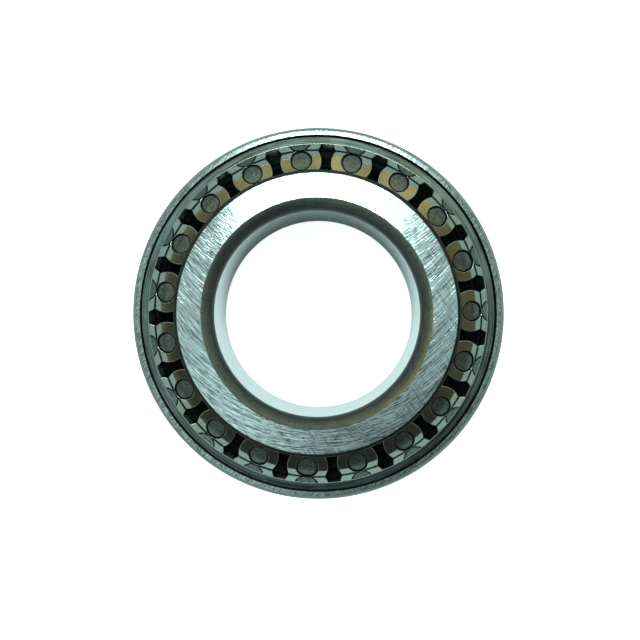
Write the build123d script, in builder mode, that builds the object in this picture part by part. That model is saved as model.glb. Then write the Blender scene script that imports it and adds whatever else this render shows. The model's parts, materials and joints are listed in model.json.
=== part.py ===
from build123d import *
import os
from math import cos, radians, sin, sqrt, tan

# Single-row tapered roller bearing, 60 x 110 x 23.75 mm, in millimetres.
# The bearing axis is Z. The cup stands on z = 0 with its back face, and +Z points to the cone's back face.
# In a section through the axis, u is the distance from the bearing axis and z the height.
# Each roller has two directions of its own in that section. t runs along its axis, away from the apex that
# all the races and rollers share, and is 0 at its large end. h runs square to t, away from the bearing axis,
# and is 0 on the roller axis.

# ---- boundary dimensions ----
bore_radius = 30.0
outer_radius = 55.0
bearing_width = 23.75
cone_width = 22.0
cup_width = 19.0

# ---- rollers and angles ----
roller_count = 19
first_roller_angle = 1.2
pitch_radius = 45.4
large_end_height = 18.69
roller_length = 14.8
cup_race_angle = 15.1
roller_taper_angle = 1.78
end_sphere_share = 0.9
roller_edge_radius = 0.25
dimple_radius = 3.1
dimple_depth = 0.45
dimple_rim_corner = 0.15
dimple_floor_corner = 0.2

# ---- clearances ----
race_clearance = 0.08
rib_clearance = 0.1
small_rib_clearance = 0.4
pocket_clearance = 0.2

# ---- cup ----
cup_front_corner = 1.3
cup_back_corner = 2.0
cup_mouth_bevel = 0.7
cup_throat_corner = 0.8

# ---- cone ----
large_rib_radius = 41.5
large_rib_corner = 1.2
large_rib_edge = 0.3
small_rib_radius = 37.6
small_rib_corner = 0.4
back_bore_corner = 3.4
front_bore_corner = 1.5
undercut_radius = 0.5

# ---- cage ----
cage_thickness = 2.2
cage_inner_offset = 3.1
cage_rim_height = 21.25
cage_rim_edge = 0.15
cage_flange_height = 0.8
cage_flange_radius = 38.4
cage_bend_radius = 0.4
pocket_corner = 0.6

# ---- worked out ----
roller_axis_angle = cup_race_angle - roller_taper_angle
lean_out = sin(radians(roller_axis_angle))
lean_up = cos(radians(roller_axis_angle))
taper = tan(radians(roller_taper_angle))
apex_distance = pitch_radius / lean_out
large_end_radius = apex_distance * taper
end_sphere_radius = end_sphere_share * apex_distance
race_gap = race_clearance / cos(radians(roller_taper_angle))
cone_bottom = bearing_width - cone_width
cage_outer_offset = cage_inner_offset + cage_thickness
roller_angles = [first_roller_angle + 360 / roller_count * step for step in range(roller_count)]


def section_point(h, t):
    """The (u, z) of a point given in the roller's own h and t."""
    return (
        pitch_radius + h * lean_up + t * lean_out,
        large_end_height - h * lean_out + t * lean_up,
    )


def at_distance(u, t):
    """The (u, z) where the roller's cross plane at t comes to the distance u from the bearing axis."""
    return section_point((u - pitch_radius - t * lean_out) / lean_up, t)


def at_height(z, h):
    """The (u, z) where the line along the roller at h comes to the height z."""
    return section_point(h, (z - large_end_height + h * lean_out) / lean_up)


def roller_radius(t):
    """The roller's radius at t, before its edges are rounded."""
    return large_end_radius + t * taper


def end_drop(radius):
    """How far the sphere of the large end has fallen at this distance from the roller axis."""
    return end_sphere_radius - sqrt(end_sphere_radius**2 - radius**2)


def pocket_half_width(t):
    """Half a cage pocket's width at t: the roller's half chord at the cage's inner face, and clearance."""
    return sqrt(roller_radius(t) ** 2 - cage_inner_offset**2) + pocket_clearance


def large_end_centre(angle):
    """The middle of the large end of the roller at this angle round the bearing."""
    return (
        pitch_radius * cos(radians(angle)),
        pitch_radius * sin(radians(angle)),
        large_end_height,
    )


def away(angle):
    """The direction of h for the roller at this angle."""
    return (lean_up * cos(radians(angle)), lean_up * sin(radians(angle)), -lean_out)


def around(angle):
    """The direction in which the roller at this angle travels when the cage turns."""
    return (-sin(radians(angle)), cos(radians(angle)), 0)


def along(angle):
    """The direction of t for the roller at this angle."""
    return (lean_out * cos(radians(angle)), lean_out * sin(radians(angle)), lean_up)


def round_corner(section, point, radius):
    """Rounds the corner of a sketch that lies at this point."""
    fillet(section.vertices().sort_by_distance(Vector(*point, 0))[0], radius)


def bevel_corner(section, point, length):
    """Bevels the corner of a sketch that lies at this point."""
    chamfer(section.vertices().sort_by_distance(Vector(*point, 0))[0], length)


def finish(part, name):
    """Labels a finished sub-part and writes its STEP file."""
    part.label = name
    export_step(part, f"parts/{name}.step")


os.makedirs("parts", exist_ok=True)

# ---- cup: the outer ring, whose conical race opens upward ----
race_foot = section_point(large_end_radius + race_gap, 0)
race_slope = tan(radians(cup_race_angle))
cup_mouth = (race_foot[0] + (cup_width - race_foot[1]) * race_slope, cup_width)
cup_throat = (race_foot[0] - race_foot[1] * race_slope, 0)
cup_back_edge = (outer_radius, 0)
cup_front_edge = (outer_radius, cup_width)

with BuildPart() as cup:
    with BuildSketch(Plane.XZ) as cup_section:
        with BuildLine():
            Polyline(cup_throat, cup_back_edge, cup_front_edge, cup_mouth, close=True)
        make_face()
        round_corner(cup_section, cup_back_edge, cup_back_corner)
        round_corner(cup_section, cup_front_edge, cup_front_corner)
        bevel_corner(cup_section, cup_mouth, cup_mouth_bevel)
        round_corner(cup_section, cup_throat, cup_throat_corner)
    revolve(axis=Axis.Z)
finish(cup.part, "cup")

# ---- cone: the inner ring, with a race between its large rib and its small rib ----
rib_t = rib_clearance
small_rib_t = -roller_length - small_rib_clearance
race_top = section_point(-roller_radius(rib_t) - race_gap, rib_t)
race_bottom = section_point(-roller_radius(small_rib_t) - race_gap, small_rib_t)
rib_edge = at_distance(large_rib_radius, rib_t)
rib_corner = (large_rib_radius, bearing_width)
small_rib_edge = at_distance(small_rib_radius, small_rib_t)
small_rib_foot = (small_rib_radius, cone_bottom)
bore_back = (bore_radius, bearing_width)
bore_front = (bore_radius, cone_bottom)

with BuildPart() as cone:
    with BuildSketch(Plane.XZ) as cone_section:
        with BuildLine():
            Polyline(
                bore_front,
                small_rib_foot,
                small_rib_edge,
                race_bottom,
                race_top,
                rib_edge,
                rib_corner,
                bore_back,
                close=True,
            )
        make_face()
        round_corner(cone_section, bore_back, back_bore_corner)
        bevel_corner(cone_section, bore_front, front_bore_corner)
        round_corner(cone_section, rib_corner, large_rib_corner)
        round_corner(cone_section, rib_edge, large_rib_edge)
        round_corner(cone_section, small_rib_foot, small_rib_corner)
        round_corner(cone_section, small_rib_edge, small_rib_corner)
        with Locations(race_top, race_bottom):
            Circle(undercut_radius, mode=Mode.SUBTRACT)
    revolve(axis=Axis.Z)
finish(cone.part, "cone")

# ---- cage: a pressed cone of sheet with a rim cut square, a pocket for each roller and an inward flange ----
rim_t = (cage_rim_height - large_end_height + cage_inner_offset * lean_out) / lean_up
rim_inner = section_point(cage_inner_offset, rim_t)
rim_outer = section_point(cage_outer_offset, rim_t)
bend_outer = at_height(cage_flange_height, cage_outer_offset)
bend_inner = at_height(cage_flange_height + cage_thickness, cage_inner_offset)
flange_bottom = (cage_flange_radius, cage_flange_height)
flange_top = (cage_flange_radius, cage_flange_height + cage_thickness)
pocket_small_t = -roller_length - pocket_clearance
pocket_large_t = pocket_clearance
pocket_small_half = pocket_half_width(pocket_small_t)
pocket_large_half = pocket_half_width(pocket_large_t)
pocket_planes = [
    Plane(origin=large_end_centre(angle), x_dir=around(angle), z_dir=away(angle)) for angle in roller_angles
]

with BuildPart() as cage:
    with BuildSketch(Plane.XZ) as cage_section:
        with BuildLine():
            Polyline(
                flange_bottom,
                bend_outer,
                rim_outer,
                rim_inner,
                bend_inner,
                flange_top,
                close=True,
            )
        make_face()
        round_corner(cage_section, bend_outer, cage_bend_radius + cage_thickness)
        round_corner(cage_section, bend_inner, cage_bend_radius)
        round_corner(cage_section, rim_outer, cage_rim_edge)
        round_corner(cage_section, rim_inner, cage_rim_edge)
        round_corner(cage_section, flange_bottom, cage_rim_edge)
        round_corner(cage_section, flange_top, cage_rim_edge)
    revolve(axis=Axis.Z)
    with BuildSketch(*pocket_planes) as pockets:
        with BuildLine():
            Polyline(
                (-pocket_small_half, pocket_small_t),
                (pocket_small_half, pocket_small_t),
                (pocket_large_half, pocket_large_t),
                (-pocket_large_half, pocket_large_t),
                close=True,
            )
        make_face()
        fillet(pockets.vertices(), pocket_corner)
    extrude(amount=cage_outer_offset + cage_thickness, mode=Mode.SUBTRACT)
finish(cage.part, "cage")

# ---- rollers: tapered, with a dimple in the large end ----
small_end_radius = roller_radius(-roller_length)
dimple_foot = (dimple_radius, -dimple_depth)
dimple_rim = (dimple_radius, -end_drop(dimple_radius))
large_edge = (large_end_radius, -end_drop(large_end_radius))
small_edge = (small_end_radius, -roller_length)

for number, angle in enumerate(roller_angles, start=1):
    section_plane = Plane(
        origin=large_end_centre(angle),
        x_dir=away(angle),
        z_dir=(-Vector(*around(angle))),
    )
    with BuildPart() as roller:
        with BuildSketch(section_plane) as roller_section:
            with BuildLine():
                Polyline((0, -roller_length), (0, -dimple_depth), dimple_foot, dimple_rim)
                RadiusArc(dimple_rim, large_edge, end_sphere_radius)
                Polyline(large_edge, small_edge, (0, -roller_length))
            make_face()
            round_corner(roller_section, large_edge, roller_edge_radius)
            round_corner(roller_section, small_edge, roller_edge_radius)
            round_corner(roller_section, dimple_foot, dimple_floor_corner)
            round_corner(roller_section, dimple_rim, dimple_rim_corner)
        revolve(axis=Axis(large_end_centre(angle), along(angle)))
    finish(roller.part, f"roller_{number:02d}")

print("roller large end radius", round(large_end_radius, 3), "small end radius", round(small_end_radius, 3))
print("cup race", cup_throat, cup_mouth, "cone race", race_bottom, race_top)
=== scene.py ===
import json
import math
import random

import bpy
from mathutils import Matrix, Vector


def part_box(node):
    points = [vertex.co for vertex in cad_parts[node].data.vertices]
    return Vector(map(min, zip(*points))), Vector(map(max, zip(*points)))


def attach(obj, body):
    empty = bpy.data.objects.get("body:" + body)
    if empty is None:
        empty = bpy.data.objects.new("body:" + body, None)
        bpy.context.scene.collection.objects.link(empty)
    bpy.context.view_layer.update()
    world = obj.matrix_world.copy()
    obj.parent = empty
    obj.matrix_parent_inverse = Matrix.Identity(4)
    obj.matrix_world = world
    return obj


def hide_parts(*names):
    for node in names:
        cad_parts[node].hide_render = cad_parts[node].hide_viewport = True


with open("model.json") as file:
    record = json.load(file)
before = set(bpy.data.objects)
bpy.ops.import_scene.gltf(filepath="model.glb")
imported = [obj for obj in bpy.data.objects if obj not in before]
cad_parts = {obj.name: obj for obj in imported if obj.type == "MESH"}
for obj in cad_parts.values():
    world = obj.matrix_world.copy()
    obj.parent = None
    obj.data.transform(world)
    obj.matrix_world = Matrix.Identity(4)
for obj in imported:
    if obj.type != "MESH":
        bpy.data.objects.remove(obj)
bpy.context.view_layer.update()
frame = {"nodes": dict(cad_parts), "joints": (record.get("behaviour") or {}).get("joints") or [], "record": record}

# ---------------------------------------------------------------- sizes, in metres, from the frame
MM = 0.001
mounts = {mount["name"]: mount for mount in frame["record"]["mounts"]}
joints = {joint["name"]: joint for joint in frame["joints"]}
bore_radius = mounts["shaft_bore"]["dims"]["r_mm"] * MM
outer_radius = mounts["housing_seat"]["dims"]["r_mm"] * MM
cup_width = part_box("cup")[1].z
cone_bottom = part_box("cone")[0].z
bearing_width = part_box("cone")[1].z
cage_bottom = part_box("cage")[0].z
cage_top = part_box("cage")[1].z

first_pivot = Vector(joints["roller_01_spin"]["pos_m"])
first_axis = Vector(joints["roller_01_spin"]["axis"])
pitch_radius = first_pivot.to_2d().length
large_end_height = first_pivot.z
lean_out = first_axis.to_2d().length
lean_up = first_axis.z
roller_nodes = sorted(name for name in frame["nodes"] if name.startswith("roller_"))

# ---------------------------------------------------------------- sizes that the frame doesn't say
taper_angle = math.radians(1.78)
roller_taper = math.tan(taper_angle)
race_slope = math.tan(math.atan2(lean_out, lean_up) + taper_angle)
roller_length = 14.8 * MM
large_end_radius = pitch_radius / lean_out * roller_taper
end_sphere_radius = 0.9 * pitch_radius / lean_out
roller_edge = 0.25 * MM
dimple_radius = 3.1 * MM
dimple_depth = 0.45 * MM
dimple_rim_corner = 0.15 * MM
dimple_floor_corner = 0.2 * MM
dimple_draft = 0.04 * MM
dimple_edge = dimple_radius + dimple_rim_corner + 0.05 * MM
dimple_stray = 0.16 * MM
dimple_wave = 0.035
shoulder = large_end_radius - 2 * roller_edge
race_gap = 0.08 * MM
rib_gap = 0.1 * MM
small_rib_gap = 0.4 * MM
pocket_gap = 0.2 * MM
cup_front_corner = 1.3 * MM
cup_back_corner = 2.0 * MM
cup_mouth_bevel = 0.7 * MM
cup_throat_corner = 0.8 * MM
large_rib_radius = 41.5 * MM
large_rib_corner = 1.2 * MM
large_rib_edge = 0.3 * MM
small_rib_radius = 37.6 * MM
small_rib_corner = 0.4 * MM
back_bore_corner = 3.4 * MM
front_bore_corner = 1.5 * MM
undercut = 0.5 * MM
cage_thickness = 2.2 * MM
cage_inner = 3.1 * MM
cage_outer = cage_inner + cage_thickness
cage_flange_radius = 38.4 * MM
cage_bend = 0.4 * MM
cage_edge = 0.13 * MM
pocket_corner = 0.6 * MM
pocket_low = -roller_length - pocket_gap
pocket_high = pocket_gap
rim_t = (cage_top - large_end_height + cage_inner * lean_out) / lean_up

# ---------------------------------------------------------------- mesh fineness
arc_steps = 6
ring_segments = 360
roller_segments = 96
rim_rows = (1, 0.75, 0.4)


# ---------------------------------------------------------------- the section through the bearing's axis
# In it, u is the distance from the bearing's axis and z the height. t runs along a roller, up from its large
# end, and h square to t, outward from the roller's own axis.
def section_point(h, t):
    """The (u, z) of a point given in the roller's own h and t."""
    return (pitch_radius + h * lean_up + t * lean_out, large_end_height - h * lean_out + t * lean_up)


def at_distance(u, t):
    """The (u, z) where the roller's cross plane at t comes to the distance u from the bearing axis."""
    return section_point((u - pitch_radius - t * lean_out) / lean_up, t)


def at_height(z, h):
    """The (u, z) where the line along the roller at h comes to the height z."""
    return section_point(h, (z - large_end_height + h * lean_out) / lean_up)


def roller_radius(t):
    """The roller's radius at t, before its edges are rounded."""
    return large_end_radius + t * roller_taper


def end_drop(radius):
    """How far the ground sphere of the roller's large end has fallen at this distance from its axis."""
    return end_sphere_radius - math.sqrt(end_sphere_radius**2 - radius**2)


def on_cone_race(t):
    """The (u, z) of the cone's race at t."""
    return section_point(-roller_radius(t) - race_gap, t)


cup_race_foot = section_point(large_end_radius + race_gap / math.cos(taper_angle), 0)
cup_mouth = cup_race_foot[0] + (cup_width - cup_race_foot[1]) * race_slope
cup_throat = cup_race_foot[0] - cup_race_foot[1] * race_slope


# ---------------------------------------------------------------- mesh making
def rounded(corners, closed=True):
    """An outline through corners given as ((u, z), radius), with each corner turned into an arc."""
    points = []
    count = len(corners)
    for index, (corner, radius) in enumerate(corners):
        here = Vector(corner)
        if radius == 0 or (not closed and index in (0, count - 1)):
            points.append(here)
            continue
        to_last = (Vector(corners[index - 1][0]) - here).normalized()
        to_next = (Vector(corners[(index + 1) % count][0]) - here).normalized()
        half = to_last.angle(to_next) / 2
        centre = here + (to_last + to_next).normalized() * radius / math.sin(half)
        start = here + to_last * radius / math.tan(half) - centre
        sweep = start.angle_signed(here + to_next * radius / math.tan(half) - centre)
        for step in range(arc_steps + 1):
            turn = Matrix.Rotation(-sweep * step / arc_steps, 2)
            points.append(centre + turn @ start)
    return points


def outline_normals(points, closed=True):
    """A normal for each point of an outline, nearest to that of the longer side beside it."""
    count = len(points)
    normals = []
    for index, point in enumerate(points):
        last = points[index - 1] if closed or index else point
        following = points[(index + 1) % count] if closed or index < count - 1 else point
        side = (point - last).normalized() * (point - last).length ** 2
        side += (following - point).normalized() * (following - point).length ** 2
        normals.append(Vector((side.y, -side.x)).normalized())
    return normals


def turned(name, points, segments, closed=True):
    """A solid of revolution about Z, with the normals of its outline, which has the solid on its left."""
    normals = outline_normals(points, closed)
    vertices, vertex_normals, rings, faces = [], [], [], []
    for point, normal in zip(points, normals):
        ring = []
        on_axis = point.x < 1e-9
        for step in range(1 if on_axis else segments):
            angle = 2 * math.pi * step / segments
            ring.append(len(vertices))
            vertices.append((point.x * math.cos(angle), point.x * math.sin(angle), point.y))
            flat = 0 if on_axis else normal.x
            outward = Vector((flat * math.cos(angle), flat * math.sin(angle), normal.y))
            vertex_normals.append(outward.normalized())
        rings.append(ring * segments if on_axis else ring)
    pairs = list(zip(rings, rings[1:])) + ([(rings[-1], rings[0])] if closed else [])
    for low, high in pairs:
        for step in range(segments):
            after = (step + 1) % segments
            face = (low[step], low[after], high[after], high[step])
            faces.append(tuple(dict.fromkeys(face)))
    mesh = bpy.data.meshes.new(name)
    mesh.from_pydata(vertices, [], faces)
    mesh.shade_smooth()
    mesh.normals_split_custom_set_from_vertices(vertex_normals)
    return shown(name, mesh)


def shown(name, mesh):
    """Puts a mesh in the scene as an object."""
    piece = bpy.data.objects.new(name, mesh)
    bpy.context.scene.collection.objects.link(piece)
    return piece


def stand_for(piece, node):
    """The piece is shown in place of the CAD node and moves with its body."""
    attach(piece, node)
    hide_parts(node)


# ---------------------------------------------------------------- the pieces
def make_cup():
    """The outer ring."""
    race_up = Vector((race_slope, 1)).normalized() * cup_mouth_bevel
    bevel_edge = 0.12 * MM
    corners = [
        ((cup_throat, 0), cup_throat_corner),
        ((outer_radius, 0), cup_back_corner),
        ((outer_radius, cup_width), cup_front_corner),
        ((cup_mouth + cup_mouth_bevel, cup_width), bevel_edge),
        ((cup_mouth - race_up.x, cup_width - race_up.y), bevel_edge),
    ]
    return turned("cup_ring", rounded(corners), ring_segments)


def make_cone():
    """The inner ring, with its race between two ribs and a relief groove at each end of the race."""
    rib_t, small_rib_t = rib_gap, -roller_length - small_rib_gap
    groove_reach, small_rib_reach, groove_depth = 1.6 * undercut, 1.2 * undercut, 0.5 * undercut
    groove_edge, groove_floor, bevel_edge = 0.1 * MM, 0.2 * MM, 0.15 * MM
    top_groove = section_point(-roller_radius(rib_t) - race_gap - groove_depth, rib_t + groove_depth)
    bottom_groove = section_point(
        -roller_radius(small_rib_t) - race_gap - groove_depth, small_rib_t - groove_depth
    )
    corners = [
        ((bore_radius, cone_bottom + front_bore_corner), bevel_edge),
        ((bore_radius + front_bore_corner, cone_bottom), bevel_edge),
        ((small_rib_radius, cone_bottom), small_rib_corner),
        (at_distance(small_rib_radius, small_rib_t), small_rib_corner),
        (at_distance(on_cone_race(small_rib_t)[0] + small_rib_reach, small_rib_t), groove_edge),
        (bottom_groove, groove_floor),
        (on_cone_race(small_rib_t + groove_reach), groove_edge),
        (on_cone_race(rib_t - groove_reach), groove_edge),
        (top_groove, groove_floor),
        (at_distance(on_cone_race(rib_t)[0] + groove_reach, rib_t), groove_edge),
        (at_distance(large_rib_radius, rib_t), large_rib_edge),
        ((large_rib_radius, bearing_width), large_rib_corner),
        ((bore_radius, bearing_width), back_bore_corner),
    ]
    return turned("cone_ring", rounded(corners), ring_segments)


def mark(mesh, name, values):
    """Gives each vertex a number that the piece's material can read."""
    attribute = mesh.attributes.new(name, "FLOAT", "POINT")
    attribute.data.foreach_set("value", values)


def roller_outline():
    """Half a roller's section, from the middle of its small end round to the middle of its dimple."""
    small_radius = roller_radius(-roller_length)
    points = [Vector((0, -roller_length))]
    points += rounded(
        [
            ((0, -roller_length), 0),
            ((small_radius, -roller_length), roller_edge),
            ((large_end_radius, -end_drop(large_end_radius)), roller_edge),
            ((shoulder, -end_drop(shoulder)), 0),
        ],
        closed=False,
    )[1:-1]
    end_rings = 5
    for step in range(1, end_rings + 1):
        radius = shoulder + (dimple_edge - shoulder) * step / end_rings
        points.append(Vector((radius, -end_drop(radius))))
    points += rounded(
        [
            ((dimple_edge, -end_drop(dimple_edge)), 0),
            ((dimple_radius, -end_drop(dimple_radius)), dimple_rim_corner),
            ((dimple_radius - dimple_draft, -dimple_depth), dimple_floor_corner),
            ((0.8 * dimple_radius, -0.99 * dimple_depth), 0),
        ],
        closed=False,
    )[1:]
    for share in (0.5, 0):
        points.append(Vector((share * dimple_radius, -dimple_depth * (0.95 + 0.05 * share))))
    return points


def make_roller(number, node):
    """One tapered roller, with a dimple in its large end that is never quite round or in the middle."""
    dice = random.Random(number)
    piece = turned(f"{node}_body", roller_outline(), roller_segments, closed=False)
    mesh = piece.data
    scale = dice.uniform(0.97, 1.06)
    shift = Vector((dice.uniform(-1, 1), dice.uniform(-1, 1))) * dimple_stray
    waves = []
    for count in (2, 3, 5, 9, 14):
        waves.append((count, dice.uniform(0, dimple_wave) / count**0.5, dice.uniform(0, 2 * math.pi)))
    dimple, crease_shade = [], []
    for vertex in mesh.vertices:
        radius = math.hypot(vertex.co.x, vertex.co.y)
        near_end = vertex.co.z > -1.2 * dimple_depth
        inside = near_end and radius < dimple_edge + 0.01 * MM
        dimple.append(1.0 if near_end and radius < dimple_radius + 0.02 * MM else 0.0)
        # This mark is the dimple's wall, which the material paints near black as painted shade.
        at_wall = near_end and dimple_radius - 0.34 * MM < radius < dimple_radius + 0.12 * MM
        crease_shade.append(1.0 if at_wall and vertex.co.z < -0.05 * MM else 0.0)
        if near_end and radius < shoulder:
            weight = 1 if inside else (shoulder - radius) / (shoulder - dimple_edge)
            angle = math.atan2(vertex.co.y, vertex.co.x)
            wave = sum(size * math.sin(count * angle + phase) for count, size, phase in waves)
            grow = 1 + weight * (scale - 1 + wave)
            vertex.co.x = vertex.co.x * grow + weight * shift.x
            vertex.co.y = vertex.co.y * grow + weight * shift.y
    mark(mesh, "dimple", dimple)
    mark(mesh, "crease_shade", crease_shade)
    mark(mesh, "seed", [dice.random()] * len(mesh.vertices))
    axis = Vector(joints[f"{node}_spin"]["axis"])
    pivot = Vector(joints[f"{node}_spin"]["pos_m"])
    spin = Matrix.Rotation(dice.uniform(0, 2 * math.pi), 4, "Z")
    piece.matrix_world = Matrix.Translation(pivot) @ axis.to_track_quat("Z", "Y").to_matrix().to_4x4() @ spin
    return piece


def pocket_half_width(t):
    """Half the width of a cage pocket at t, narrower in its rounded corners."""
    full = math.sqrt(roller_radius(t) ** 2 - cage_inner**2) + pocket_gap
    inside = min(t - pocket_low, pocket_high - t, pocket_corner)
    return full - pocket_corner + math.sqrt(pocket_corner**2 - (pocket_corner - inside) ** 2)


def cage_stations():
    """The cage's section as pairs of an inner and an outer (u, z), from the rim down to the flange's edge.
    Each has the t of its pocket row, or None where the sheet is whole."""

    def straight(t, row_t):
        return section_point(cage_inner, t), section_point(cage_outer, t), row_t

    stations = [straight(share * rim_t, None) for share in rim_rows]
    corner_rows, straight_rows, bend_rows, flange_rows = 4, 8, 8, 3
    corner_angles = [math.pi / 2 * step / corner_rows for step in range(corner_rows + 1)]
    corner_steps = [pocket_corner * (1 - math.cos(angle)) for angle in corner_angles]
    straight_length = pocket_high - pocket_low - 2 * pocket_corner
    rows = [pocket_high - step for step in corner_steps]
    for step in range(1, straight_rows):
        rows.append(pocket_high - pocket_corner - straight_length * step / straight_rows)
    rows += [pocket_low + step for step in reversed(corner_steps)]
    stations += [straight(t, t) for t in rows]
    flange_top = cage_bottom + cage_thickness
    centre = Vector(at_height(flange_top + cage_bend, cage_inner - cage_bend))
    start = -math.atan2(lean_out, lean_up)
    for step in range(1, bend_rows + 1):
        angle = start + (-math.pi / 2 - start) * step / bend_rows
        way = Vector((math.cos(angle), math.sin(angle)))
        stations.append((centre + way * cage_bend, centre + way * (cage_bend + cage_thickness), None))
    for step in range(1, flange_rows + 1):
        u = centre.x + (cage_flange_radius - centre.x) * step / flange_rows
        stations.append(((u, flange_top), (u, cage_bottom), None))
    return stations


def make_cage():
    """The pressed cage: a grid of rows and columns over its sheet, left out where the pockets are."""
    side_columns, pocket_columns = 4, 10
    far_side = side_columns + pocket_columns
    columns = far_side + side_columns
    count = len(roller_nodes)
    around = count * columns
    pitch = 2 * math.pi / count
    first = math.atan2(first_pivot.y, first_pivot.x)
    stations = cage_stations()
    vertices, index, faces, pockets = [], {}, [], []

    def column_angle(column, half):
        """A column's angle from its pocket's middle, where half is the angle of the pocket's side."""
        if column <= side_columns:
            return -pitch / 2 + (pitch / 2 - half) * column / side_columns
        if column < far_side:
            return half * (2 * (column - side_columns) / pocket_columns - 1)
        return half + (pitch / 2 - half) * (column - far_side) / side_columns

    def solid(row, column):
        """Whether the sheet is whole between this row and the next, and this column and the next."""
        if not 0 <= row < len(stations) - 1:
            return False
        between = side_columns <= column % columns < far_side
        return not (between and stations[row][2] is not None and stations[row + 1][2] is not None)

    def quad(*corners):
        """Adds a face between four vertices, each given as its row, its side of the sheet and its column."""
        faces.append([index[row, side, column % around] for row, side, column in corners])

    for row, (inner, outer, t) in enumerate(stations):
        nearest_t = t if t is not None else pocket_high if row < len(rim_rows) else pocket_low
        for side, (u, z) in enumerate((inner, outer)):
            half = math.asin(pocket_half_width(nearest_t) / u)
            for sector in range(count):
                for column in range(columns):
                    inside = side_columns < column < far_side
                    if inside and t not in (None, pocket_low, pocket_high):
                        continue
                    angle = first + sector * pitch + column_angle(column, half)
                    index[row, side, sector * columns + column] = len(vertices)
                    vertices.append((u * math.cos(angle), u * math.sin(angle), z))
                    beside = t is not None and column in (side_columns, far_side)
                    pockets.append(1.0 if t in (pocket_low, pocket_high) or beside else 0.0)

    for row in range(len(stations) - 1):
        below = row + 1
        for column in range(around):
            after = column + 1
            if not solid(row, column):
                continue
            quad((row, 0, column), (row, 0, after), (below, 0, after), (below, 0, column))
            quad((row, 1, column), (below, 1, column), (below, 1, after), (row, 1, after))
            if not solid(row, column - 1):
                quad((row, 0, column), (below, 0, column), (below, 1, column), (row, 1, column))
            if not solid(row, after):
                quad((row, 0, after), (row, 1, after), (below, 1, after), (below, 0, after))
            if not solid(row - 1, column):
                quad((row, 0, column), (row, 1, column), (row, 1, after), (row, 0, after))
            if not solid(below, column):
                quad((below, 0, column), (below, 0, after), (below, 1, after), (below, 1, column))
    mesh = bpy.data.meshes.new("cage_ring")
    mesh.from_pydata(vertices, [], faces)
    mesh.shade_smooth()
    # The pocket mark lets the material paint the pocket edges near black, as painted shade.
    mark(mesh, "pocket", pockets)
    piece = shown("cage_ring", mesh)
    bevel = piece.modifiers.new("edges", "BEVEL")
    bevel.width = cage_edge
    bevel.segments = 3
    bevel.limit_method = "ANGLE"
    bevel.angle_limit = math.radians(35)
    bevel.harden_normals = True
    return piece


# ---------------------------------------------------------------- nodes
class Graph:
    """Builds a node tree with one small call for each node."""

    def __init__(self, tree):
        self.tree = tree

    def put(self, socket, value):
        if isinstance(value, bpy.types.NodeSocket):
            self.tree.links.new(value, socket)
        else:
            socket.default_value = value

    def add(self, kind, inputs=None, **settings):
        node = self.tree.nodes.new(kind)
        for name, value in settings.items():
            setattr(node, name, value)
        for name, value in (inputs or {}).items():
            self.put(node.inputs[name], value)
        return node

    def math(self, operation, *values):
        node = self.add("ShaderNodeMath", operation=operation)
        for socket, value in zip(node.inputs, values):
            self.put(socket, value)
        return node.outputs[0]

    def plus(self, *values):
        total = values[0]
        for value in values[1:]:
            total = self.math("ADD", total, value)
        return total

    def times(self, *values):
        total = values[0]
        for value in values[1:]:
            total = self.math("MULTIPLY", total, value)
        return total

    def inverse(self, value):
        return self.math("SUBTRACT", 1, value)

    def fade(self, value, low, high):
        """0 at low and 1 at high, with a smooth step between them. Low may be above high."""
        inputs = {"Value": value, "From Min": low, "From Max": high}
        node = self.add("ShaderNodeMapRange", inputs, interpolation_type="SMOOTHSTEP")
        return node.outputs["Result"]

    def span(self, value, low, high):
        """A value from 0 to 1 spread from low to high."""
        node = self.add("ShaderNodeMapRange", {"Value": value, "To Min": low, "To Max": high})
        return node.outputs["Result"]

    def larger(self, *values):
        largest = values[0]
        for value in values[1:]:
            largest = self.math("MAXIMUM", largest, value)
        return largest

    def weigh(self, *pairs):
        """Adds up values, each times its own weight."""
        return self.plus(*[self.times(value, weight) for value, weight in pairs])

    def split(self, vector):
        return self.add("ShaderNodeSeparateXYZ", {0: vector}).outputs

    def vector(self, x=0, y=0, z=0):
        return self.add("ShaderNodeCombineXYZ", {0: x, 1: y, 2: z}).outputs[0]

    def noise(self, vector, scale=1, detail=2, roughness=0.5, w=None):
        inputs = {"Vector": vector, "Scale": scale, "Detail": detail, "Roughness": roughness}
        dimensions = "3D"
        if w is not None:
            inputs["W"] = w
            dimensions = "4D"
        return self.add("ShaderNodeTexNoise", inputs, noise_dimensions=dimensions).outputs[0]

    def mix(self, factor, first, second):
        """From the first colour at 0 to the second at 1."""
        node = self.add("ShaderNodeMix", data_type="RGBA")
        self.put(node.inputs[0], factor)
        self.put(node.inputs[6], self.opaque(first))
        self.put(node.inputs[7], self.opaque(second))
        return node.outputs[2]

    def tone(self, value, reach, first, second):
        """From the first colour to the second while a noise goes from reach below 0.5 to reach above it."""
        return self.mix(self.fade(value, 0.5 - reach, 0.5 + reach), first, second)

    def shade(self, colour, factor):
        """The colour times a number."""
        node = self.add("ShaderNodeVectorMath", operation="SCALE")
        self.put(node.inputs[0], colour if isinstance(colour, bpy.types.NodeSocket) else Vector(colour))
        self.put(node.inputs["Scale"], factor)
        return node.outputs[0]

    def opaque(self, colour):
        return colour if isinstance(colour, bpy.types.NodeSocket) else (*colour, 1)


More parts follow.
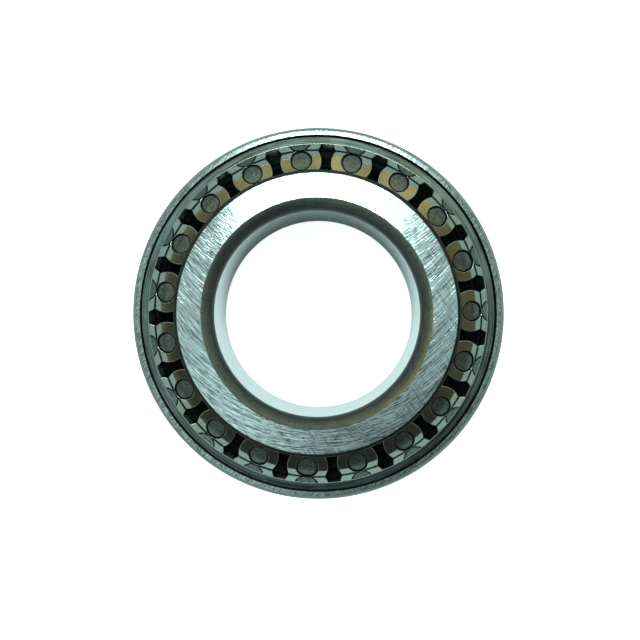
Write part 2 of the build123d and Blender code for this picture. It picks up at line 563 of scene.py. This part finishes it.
class Metal(Graph):
    """A metal's material. Its x, y, z and r, the distance from the piece's own Z axis, are in millimetres, and
    the scales of its noises are per millimetre."""

    def __init__(self, name):
        self.material = bpy.data.materials.new(name)
        self.material.use_nodes = True
        super().__init__(self.material.node_tree)
        self.shader = self.tree.nodes["Principled BSDF"]
        self.place = self.shade(self.add("ShaderNodeTexCoord").outputs["Object"], 1 / MM)
        self.x, self.y, self.z = self.split(self.place)
        self.r = self.math("SQRT", self.plus(self.times(self.x, self.x), self.times(self.y, self.y)))
        self.cosine = self.math("DIVIDE", self.x, self.r)
        self.sine = self.math("DIVIDE", self.y, self.r)

    def marked(self, name):
        """The number that the mesh's vertices hold under this name."""
        return self.add("ShaderNodeAttribute", attribute_name=name).outputs["Fac"]

    def wobble(self, scale, size):
        """A small uneven distance, up to half the size either way, that keeps an edge from looking drawn."""
        return self.times(self.plus(self.noise(self.place, scale, 3), -0.5), size)

    def toward(self, degrees):
        """How far the place lies in the direction at this angle from the x axis."""
        angle = math.radians(degrees)
        return self.plus(self.times(self.x, math.cos(angle)), self.times(self.y, math.sin(angle)))

    def turning(self, scale_along, scale_across, detail=3, roughness=0.6):
        """Lines that run round the axis, broken up along their length, with no seam."""
        around = self.vector(
            self.times(self.cosine, scale_along),
            self.times(self.sine, scale_along),
            self.times(self.r, scale_across),
        )
        return self.noise(around, 1, detail, roughness, w=self.times(self.z, scale_across))

    def streaks(self, along, across, scale_along, scale_across, detail=3, roughness=0.6):
        """Lines that run along one coordinate and change across the other."""
        vector = self.vector(self.times(along, scale_along), self.times(across, scale_across), 0)
        return self.noise(vector, 1, detail, roughness)

    def finish(self, colour, roughness, height, depth, metallic=1):
        """Height is from 0 to 1, and depth is what 1 stands for, in millimetres."""
        self.put(self.shader.inputs["Metallic"], metallic)
        self.put(self.shader.inputs["Base Color"], colour)
        self.put(self.shader.inputs["Roughness"], roughness)
        bump = self.add("ShaderNodeBump", {"Height": height, "Strength": 1, "Distance": depth * MM})
        self.put(self.shader.inputs["Normal"], bump.outputs[0])
        return self.material


# ---------------------------------------------------------------- materials
def grinding(metal):
    """The marks of grinding on a flat face: long arcs, short broken dashes, and straight lines across them.
    Beside them, as a second value, the scratch marks, which the cone's colour paints white as painted glints."""
    arc_radius = 50.5
    half_chord = metal.math("SUBTRACT", arc_radius**2, metal.times(metal.x, metal.x))
    across = metal.plus(metal.y, metal.math("SQRT", metal.larger(half_chord, 0)))
    long_lines = metal.streaks(metal.x, across, 0.075, 3.8, 3, 0.75)
    dashes = metal.streaks(metal.x, across, 0.45, 4.4, 2, 0.7)
    lean = -57
    down, side = metal.toward(lean), metal.toward(lean + 90)
    crossing = metal.streaks(down, side, 0.1, 3.8, 3, 0.75)
    where = metal.fade(metal.noise(metal.place, 0.09, 1), 0.42, 0.58)
    along_arcs = metal.weigh((long_lines, 0.62), (dashes, 0.38))
    marks = metal.weigh((along_arcs, metal.span(where, 1, 0.65)), (crossing, metal.times(where, 0.35)))
    cuts = metal.fade(metal.streaks(metal.x, across, 0.08, 3.2, 2, 0.5), 0.64, 0.7)
    cross_cuts = metal.fade(metal.streaks(down, side, 0.13, 2.4, 2, 0.5), 0.66, 0.72)
    scratches_and_glints = metal.larger(metal.times(cuts, metal.span(where, 1, 0.4)), metal.times(cross_cuts, 0.7))
    return marks, scratches_and_glints


def bore_corner_colour(metal, lines):
    """Dark turned steel, its darkness partly painted shade, with stains and specks; one side lighter with a
    dried-oil tint, partly painted light, the other side and the deeper part darker as painted shade.
    """
    stains = metal.fade(metal.noise(metal.place, 0.16, 4, 0.6), 0.45, 0.7)
    bare = metal.fade(metal.noise(metal.place, 0.9, 4, 0.7), 0.36, 0.6)
    dark = metal.tone(lines, 0.2, (0.05, 0.057, 0.046), (0.112, 0.119, 0.097))
    dark = metal.mix(metal.times(metal.inverse(bare), 0.6), dark, (0.035, 0.04, 0.034))
    dark = metal.mix(metal.times(stains, 0.5), dark, (0.13, 0.1, 0.055))
    # Painted shade on the side toward 132 degrees; on the side toward -30 degrees, painted light tinted like dried
    # oil.
    oil_tint_lit_side, shaded_side = metal.fade(metal.toward(-30), 21, 31), metal.fade(metal.toward(132), 20, 31)
    oil_tint_and_light = metal.times(oil_tint_lit_side, metal.fade(metal.r, 31.6, 33), metal.span(stains, 0.5, 1))
    dark = metal.mix(oil_tint_and_light, dark, (0.19, 0.142, 0.06))
    dark = metal.mix(metal.times(shaded_side, 0.6), dark, (0.02, 0.026, 0.026))
    # Painted shade: the colour darkens deeper into the bore corner.
    depth = metal.math("SUBTRACT", bearing_width / MM, metal.z)
    return metal.mix(metal.fade(depth, 0.7, 1.9), dark, (0.026, 0.033, 0.034))


def cone_metal():
    """Ground flat faces and bore. The rounded corners are turned, and darker partly from their turned finish and
    oil, partly as painted shade for the dark they reflect.
    """
    metal = Metal("cone_steel")
    top, bottom, bore = bearing_width / MM, cone_bottom / MM, bore_radius / MM
    wobble = metal.wobble(0.7, 0.008)
    height = metal.plus(metal.z, wobble)
    at_top = metal.fade(height, top - 0.02, top - 0.006)
    at_bottom = metal.fade(height, bottom + 0.02, bottom + 0.006)
    face_edge = (large_rib_radius - large_rib_corner) / MM
    within_edge = metal.fade(metal.plus(metal.r, metal.times(wobble, 2)), face_edge - 0.04, face_edge - 0.16)
    on_face = metal.times(metal.larger(at_top, at_bottom), within_edge)
    in_bore = metal.fade(metal.plus(metal.r, wobble), bore + 0.03, bore + 0.01)
    outside = metal.fade(metal.r, 35.5, 36)  # changes on the flat face, clear of both its edges
    on_race = metal.times(outside, metal.fade(height, top - 2.2, top - 3))
    on_rib = metal.times(outside, metal.inverse(metal.larger(on_race, on_face)))
    corner = metal.inverse(metal.larger(on_face, in_bore, outside))
    marks, scratches_and_glints = grinding(metal)
    turned_lines = metal.turning(5, 4.5, 3, 0.6)
    polish_lines = metal.turning(9, 2.2, 4, 0.7)

    # The grinding marks run from near black to near white: partly their own tone, partly painted reflection of the
    # light and dark they catch.
    face = metal.tone(marks, 0.06, (0.13, 0.15, 0.145), (0.97, 1.0, 0.99))
    # Painted glints: each scratch mark is painted pure white.
    face = metal.mix(scratches_and_glints, face, (1.0, 1.0, 1.0))
    # The rib corner's dark colour is partly an oil film and partly painted shade for the dark its edge reflects.
    oil_and_shade = metal.tone(turned_lines, 0.2, (0.045, 0.047, 0.042), (0.1, 0.1, 0.085))
    bright = metal.tone(polish_lines, 0.2, (0.56, 0.59, 0.585), (0.72, 0.745, 0.735))
    race = metal.tone(polish_lines, 0.2, (0.2, 0.2, 0.18), (0.3, 0.3, 0.27))
    colour = metal.mix(on_rib, bore_corner_colour(metal, turned_lines), oil_and_shade)
    colour = metal.mix(on_race, colour, race)
    colour = metal.mix(in_bore, colour, bright)
    colour = metal.mix(on_face, colour, face)
    rough = metal.weigh(
        (metal.span(turned_lines, 0.28, 0.44), corner),
        (metal.span(turned_lines, 0.16, 0.3), on_rib),
        (metal.span(polish_lines, 0.1, 0.2), on_race),
        (metal.span(polish_lines, 0.12, 0.26), in_bore),
        (metal.span(marks, 0.17, 0.05), on_face),
    )
    relief = metal.weigh(
        (metal.weigh((marks, 1.6), (scratches_and_glints, -0.6)), on_face),
        (polish_lines, metal.times(in_bore, 0.12)),
        (turned_lines, metal.times(corner, 0.5)),
        (turned_lines, metal.times(on_rib, 0.2)),
    )
    return metal.finish(colour, rough, relief, 0.013, metal.span(corner, 1, 0.4))


def cup_metal():
    """Ground and scuffed faces, and a ground outside and race, with darker turned corners between them. The mouth
    bevel is painted near black as painted shade.
    """
    metal = Metal("cup_steel")
    top, outer, mouth = cup_width / MM, outer_radius / MM, cup_mouth / MM
    wobble = metal.wobble(0.8, 0.01)
    height = metal.plus(metal.z, wobble)
    on_face = metal.larger(metal.fade(height, top - 0.03, top - 0.01), metal.fade(height, 0.03, 0.01))
    outside = metal.fade(metal.plus(metal.r, wobble), outer - 0.03, outer - 0.01)
    inside = metal.fade(metal.r, mouth + 1.3, mouth + 1.1)
    race = metal.times(inside, metal.fade(metal.r, mouth - 0.25, mouth - 0.31), metal.fade(metal.z, 0.6, 0.9))
    bevel = metal.times(inside, metal.inverse(on_face), metal.inverse(race))
    ground = metal.larger(outside, race)
    rest = metal.inverse(metal.larger(ground, on_face))
    lean = 56
    scuffs = metal.streaks(metal.toward(lean), metal.toward(lean + 90), 0.22, 3.4, 3, 0.7)
    mottle = metal.noise(metal.place, 2.4, 4, 0.65)
    lines = metal.turning(8, 2.6, 4, 0.7)
    nicks = metal.fade(metal.noise(metal.place, 0.42, 5, 0.7), 0.66, 0.72)
    shine = metal.weigh((scuffs, 0.55), (mottle, 0.45))

    face = metal.tone(shine, 0.08, (0.15, 0.17, 0.16), (0.62, 0.65, 0.62))
    face = metal.mix(nicks, face, (0.12, 0.12, 0.1))
    turned = metal.tone(lines, 0.2, (0.2, 0.22, 0.21), (0.36, 0.38, 0.36))
    bright = metal.tone(lines, 0.15, (0.34, 0.36, 0.355), (0.58, 0.6, 0.59))
    colour = metal.mix(ground, turned, bright)
    # Painted shade: the mouth bevel is painted near black.
    colour = metal.mix(bevel, colour, (0.03, 0.033, 0.03))
    colour = metal.mix(on_face, colour, face)
    rough = metal.weigh(
        (metal.span(lines, 0.28, 0.42), rest),
        (metal.span(lines, 0.12, 0.24), ground),
        (metal.span(shine, 0.3, 0.12), on_face),
    )
    relief = metal.plus(metal.times(shine, on_face, 0.3), metal.times(lines, 0.25), metal.times(nicks, -0.8))
    oxidised = metal.times(rest, metal.fade(metal.r, outer - 2, outer - 1.6))
    return metal.finish(colour, rough, relief, 0.012, metal.span(oxidised, 1, 0.45))


def cage_metal():
    """Pressed sheet with an oil film and a little brown, with a turned rim and a polished band inside it. The
    pocket edges are painted near black as painted shade, and the rim's inner edge is painted bright, partly wear
    and partly a painted highlight.
    """
    metal = Metal("cage_steel")
    lines = metal.turning(1.6, 2.4, 3, 0.8)
    fine = metal.turning(14, 7, 2, 0.6)
    mottle = metal.noise(metal.place, 0.35, 4, 0.6)
    brown = metal.fade(metal.noise(metal.place, 0.13, 3), 0.42, 0.62)
    out, up = metal.plus(metal.r, -pitch_radius / MM), metal.plus(metal.z, -large_end_height / MM)
    h = metal.weigh((out, lean_up), (up, -lean_out))
    t = metal.weigh((out, lean_out), (up, lean_up))
    wall, rim = cage_inner / MM, rim_t / MM
    band = metal.times(metal.fade(h, wall + 0.3, wall + 0.15), metal.fade(t, 0, 0.3))
    edge = metal.times(metal.fade(h, wall + 0.4, wall + 0.1), metal.fade(t, rim - 0.2, rim - 0.08))
    wear_and_highlight = metal.fade(metal.plus(edge, metal.times(mottle, 0.5)), 0.95, 1.25)
    shine = metal.weigh((lines, 0.75), (fine, 0.15), (mottle, 0.1))

    colour = metal.tone(shine, 0.08, (0.1, 0.13, 0.14), (0.55, 0.68, 0.7))
    colour = metal.mix(metal.times(brown, 0.4), colour, (0.21, 0.225, 0.15))
    colour = metal.mix(band, colour, metal.mix(mottle, (0.44, 0.49, 0.495), (0.6, 0.64, 0.64)))
    # Painted shade: the pocket edges are painted near black.
    colour = metal.mix(metal.fade(metal.marked("pocket"), 0.55, 0.95), colour, (0.035, 0.04, 0.04))
    # The rim's inner edge is painted bright: partly wear, partly a painted highlight.
    colour = metal.mix(wear_and_highlight, colour, (0.85, 0.87, 0.85))
    rough = metal.weigh(
        (metal.span(shine, 0.38, 0.22), metal.inverse(band)),
        (metal.span(fine, 0.06, 0.14), band),
    )
    relief = metal.plus(metal.times(shine, metal.span(band, 1, 0.05)), metal.times(mottle, 0.03))
    return metal.finish(colour, rough, relief, 0.012)


def roller_metal():
    """Ground all over, and a little straw-coloured, partly from oil and partly as a painted golden reflection. The
    dimple's floor is as forged, dull and dark.
    """
    metal = Metal("roller_steel")
    seed, dimple, crease_shade = metal.marked("seed"), metal.marked("dimple"), metal.marked("crease_shade")
    around = metal.vector(metal.times(metal.cosine, 6), metal.times(metal.sine, 6), metal.times(metal.r, 3))
    lines = metal.noise(around, 1, 3, 0.6, w=metal.plus(metal.times(metal.z, 3), metal.times(seed, 40)))
    mottle = metal.noise(metal.place, 1.6, 4, 0.65, w=metal.times(seed, 40))
    smear = metal.noise(metal.place, 0.35, 2, 0.5, w=metal.times(seed, 90))
    bare = metal.fade(metal.noise(metal.place, 3.2, 3, 0.6, w=metal.times(seed, 60)), 0.36, 0.5)
    barrel_shade = metal.fade(metal.z, -0.7, -1.6)

    # Straw tint: partly an oil film, partly a painted golden reflection.
    colour = metal.tone(lines, 0.2, (0.76, 0.75, 0.68), (0.9, 0.89, 0.82))
    colour = metal.mix(metal.times(metal.fade(smear, 0.45, 0.7), 0.5), colour, (0.72, 0.66, 0.48))
    # Painted shade: the roller's side below the large end is darkened, for the shade between the cage bars.
    colour = metal.mix(metal.times(barrel_shade, 0.6), colour, (0.12, 0.12, 0.11))
    floor = metal.tone(mottle, 0.12, (0.2, 0.215, 0.2), (0.38, 0.4, 0.37))
    floor = metal.mix(metal.times(metal.inverse(bare), 0.6), floor, (0.08, 0.085, 0.075))
    colour = metal.mix(dimple, colour, floor)
    # Painted shade: the dimple's wall is painted near black.
    colour = metal.mix(metal.fade(crease_shade, 0.05, 0.6), colour, (0.02, 0.02, 0.018))
    rough = metal.weigh(
        (metal.span(lines, 0.06, 0.14), metal.inverse(dimple)),
        (metal.span(mottle, 0.36, 0.22), dimple),
    )
    in_dimple = metal.weigh((bare, 0.25), (mottle, 0.3))
    relief = metal.weigh((lines, 0.12), (in_dimple, dimple))
    return metal.finish(colour, rough, relief, 0.014)


# ---------------------------------------------------------------- stage
def glow(name, base, roughness, emission):
    """A material that shines by itself, and its graph and shader."""
    material = bpy.data.materials.new(name)
    material.use_nodes = True
    shader = material.node_tree.nodes["Principled BSDF"]
    shader.inputs["Base Color"].default_value = (*base, 1)
    shader.inputs["Roughness"].default_value = roughness
    shader.inputs["Specular IOR Level"].default_value = 0
    shader.inputs["Emission Color"].default_value = (*emission, 1)
    return material, Graph(material.node_tree), shader


def facing(place, ahead):
    """A transform at this place that looks ahead, with the bearing's +Y upward in its view."""
    right = ahead.cross(Vector((0, 1, 0))).normalized()
    up = right.cross(ahead)
    return Matrix.Translation(place) @ Matrix((right, up, -ahead)).transposed().to_4x4()


def make_floor():
    """Pale paper. What the camera sees of it directly is lifted, as an overexposed background is."""
    size = 3.0
    corners = [(-size, -size, 0), (size, -size, 0), (size, size, 0), (-size, size, 0)]
    mesh = bpy.data.meshes.new("floor")
    mesh.from_pydata(corners, [], [range(4)])
    floor = shown("floor", mesh)
    material, graph, shader = glow("floor_paper", (0.9, 0.9, 0.9), 0.9, (1, 1, 1))
    seen = graph.add("ShaderNodeLightPath").outputs["Is Camera Ray"]
    graph.put(shader.inputs["Emission Strength"], graph.times(seen, 0.88))
    mesh.materials.append(material)


def make_camera():
    """Almost straight down the bearing axis, from close by, a little to the right of it."""
    height_above_face = 153.5 * MM
    aside = 5.08 * MM
    target = Vector((1.08 * MM, -1.71 * MM, bearing_width))
    data = bpy.data.cameras.new("camera")
    data.sensor_width = 36
    data.lens = 30.2625
    data.clip_start = 0.01
    camera = bpy.data.objects.new("camera", data)
    place = Vector((aside, 0, bearing_width + height_above_face))
    camera.matrix_world = facing(place, (target - place).normalized())
    bpy.context.scene.collection.objects.link(camera)
    bpy.context.scene.camera = camera


def make_light(name, place, width, depth, radiance, turn=0):
    """A soft rectangular light that faces the object."""
    data = bpy.data.lights.new(name, "AREA")
    data.shape = "RECTANGLE"
    data.size = width
    data.size_y = depth
    data.color = (0.76, 1.0, 0.985)
    data.energy = radiance * math.pi * width * depth
    light = bpy.data.objects.new(name, data)
    light.matrix_world = facing(place, -Vector(place).normalized()) @ Matrix.Rotation(turn, 4, "Z")
    bpy.context.scene.collection.objects.link(light)
    return light


def make_lens_card():
    """What stands where the camera is: a grey disc that only reflections show, and that throws no shadow."""
    count, radius = 48, 42 * MM
    centre = bpy.context.scene.camera.matrix_world.translation
    points = []
    for step in range(count):
        angle = 2 * math.pi * step / count
        points.append((centre.x + radius * math.cos(angle), centre.y + radius * math.sin(angle), centre.z))
    mesh = bpy.data.meshes.new("lens_card")
    mesh.from_pydata(points, [], [range(count)])
    card = shown("lens_card", mesh)
    card.visible_camera = card.visible_shadow = card.visible_diffuse = False
    material, _, shader = glow("lens_card_grey", (0, 0, 0), 0.5, (0.7, 1, 0.97))
    shader.inputs["Emission Strength"].default_value = 0.62
    mesh.materials.append(material)


def make_room():
    """The light from all round: pale patches on the ceiling, a dark gap, a wall that is golden above and cool
    below, and a pale horizon. The camera itself sees a plain pale background."""
    world = bpy.data.worlds.new("room")
    world.use_nodes = True
    room = Graph(world.node_tree)
    x, y, z = room.split(room.add("ShaderNodeTexCoord").outputs["Generated"])
    steep = room.larger(z, 0.02)
    over_x, over_y = room.math("DIVIDE", x, steep), room.math("DIVIDE", y, steep)

    def patch(centre_x, centre_y, start, full):
        """Fades from the start distance to the full one, round a point of a ceiling one metre up."""
        east, north = room.plus(over_x, -centre_x), room.plus(over_y, -centre_y)
        away = room.math("SQRT", room.weigh((east, east), (north, north)))
        return room.fade(away, start, full)

    def lean(start, full):
        """0 where a direction leans from overhead by the start angle, in degrees, and 1 at the full angle."""
        return room.fade(z, math.cos(math.radians(start)), math.cos(math.radians(full)))

    ceiling = room.weigh(
        (patch(-0.07, -0.24, 0.75, 0.12), 0.82),
        (patch(0.34, 0.12, 0.3, 0), 0.32),
        (patch(-0.42, 0.1, 0.22, 0), 0.6),
    )
    dim_spot = room.span(patch(0.14, -0.34, 0.12, 0.36), 0.3, 1)
    ceiling = room.times(ceiling, dim_spot, lean(37, 28))

    level = room.math("SQRT", room.plus(room.times(x, x), room.times(y, y), 1e-6))
    back, left = room.math("DIVIDE", y, level), room.math("DIVIDE", x, room.times(level, -1))
    on_left = room.fade(left, -0.3, 1)
    uneven = room.span(room.fade(room.noise(room.vector(x, y, z), 5, 2, 0.5), 0.35, 0.65), 0.6, 1.25)
    golden = room.weigh((room.fade(back, -1, 0.3), 0.07), (room.fade(back, 0.35, 1), 0.29))
    golden = room.times(room.plus(golden, 0.003), uneven, room.span(on_left, 1, 0.38))
    cool = room.plus(room.times(on_left, 0.4), room.times(room.fade(back, -1, 1), 0.75), 0.08)
    low_down = lean(44.5, 50)
    wall = room.times(lean(62, 52), lean(29, 37), room.plus(golden, room.times(low_down, cool)))
    wall_tone = room.mix(low_down, (1.0, 0.93, 0.42), (0.74, 1.0, 0.95))
    horizon = room.times(lean(66, 80), 0.35)

    colour = room.add("ShaderNodeVectorMath", operation="ADD")
    room.put(colour.inputs[0], room.shade((0.70, 1.0, 0.98), room.plus(ceiling, horizon, 0.02)))
    room.put(colour.inputs[1], room.shade(wall_tone, wall))
    seen = room.add("ShaderNodeLightPath").outputs["Is Camera Ray"]
    background = world.node_tree.nodes["Background"]
    room.put(background.inputs["Color"], room.mix(seen, colour.outputs[0], (0.94, 0.95, 0.95)))
    bpy.context.scene.world = world


make_camera()
make_floor()
make_room()
make_light("key", (-0.0155, 0.3, 1.0), width=0.313, depth=0.25, radiance=9, turn=math.radians(-3.5))
fill = make_light("fill", (-0.012, 0.34, 1.0), width=0.3, depth=0.25, radiance=36)
fill.visible_glossy = False
make_lens_card()
bpy.context.scene.view_settings.view_transform = "Standard"

pieces = [
    (make_cup(), "cup", "cup_steel", cup_metal()),
    (make_cone(), "cone", "cone_steel", cone_metal()),
    (make_cage(), "cage", "cage_steel", cage_metal()),
]
roller_finish = roller_metal()
for number, node in enumerate(roller_nodes, start=1):
    pieces.append((make_roller(number, node), node, "roller_steel", roller_finish))
for piece, node, slot, material in pieces:
    stand_for(piece, node)
    piece.data.materials.append(material)
